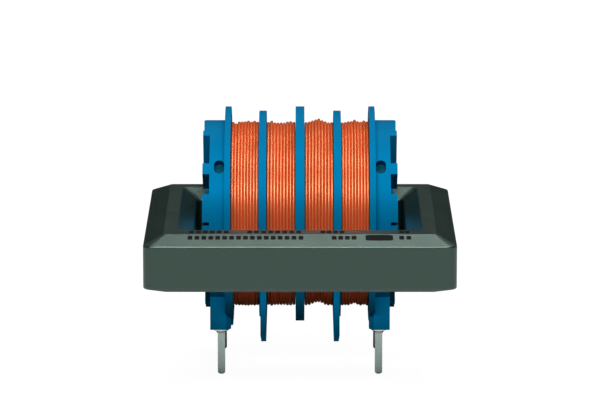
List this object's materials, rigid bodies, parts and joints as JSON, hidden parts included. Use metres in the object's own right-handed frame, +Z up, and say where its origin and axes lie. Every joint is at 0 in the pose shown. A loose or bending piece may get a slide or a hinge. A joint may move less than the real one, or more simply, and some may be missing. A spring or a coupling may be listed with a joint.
{
  "type": "common mode choke",
  "caption": "Board-mounted mains choke: closed ferrite frame through a chambered bobbin with two copper windings and square solder pins.",
  "frame": {"origin": "middle of the pin grid on the board's surface, which is the plane of the bobbin's four foot corners", "axes": "+X along the bobbin, +Y from the free front bar towards the bobbin, +Z up from the board; the pins point along -Z"},
  "size_m": [0.0286, 0.0343, 0.0249],
  "materials": {
    "ferrite": "matt pressed ferrite",
    "blue_plastic": "satin moulded",
    "enamelled_copper": "clear enamel over copper",
    "tinned_pin": "dull tin plate",
    "solder": "bright solder"
  },
  "bodies": {
    "root": {"core_frame": "ferrite", "bobbin_upper_half": "blue_plastic", "bobbin_lower_half": "blue_plastic", "winding_left_outer": "enamelled_copper", "winding_left_inner": "enamelled_copper", "winding_right_inner": "enamelled_copper", "winding_right_outer": "enamelled_copper", "pin_front_left": "tinned_pin", "pin_front_right": "tinned_pin", "pin_back_left": "tinned_pin", "pin_back_right": "tinned_pin", "solder_front_left": "solder", "solder_front_right": "solder", "solder_back_left": "solder", "solder_back_right": "solder", "lead_front_left": "enamelled_copper", "lead_front_right": "enamelled_copper", "lead_back_left": "enamelled_copper", "lead_back_right": "enamelled_copper", "crossover_left": "enamelled_copper", "crossover_right": "enamelled_copper"}
  },
  "joints": []
}
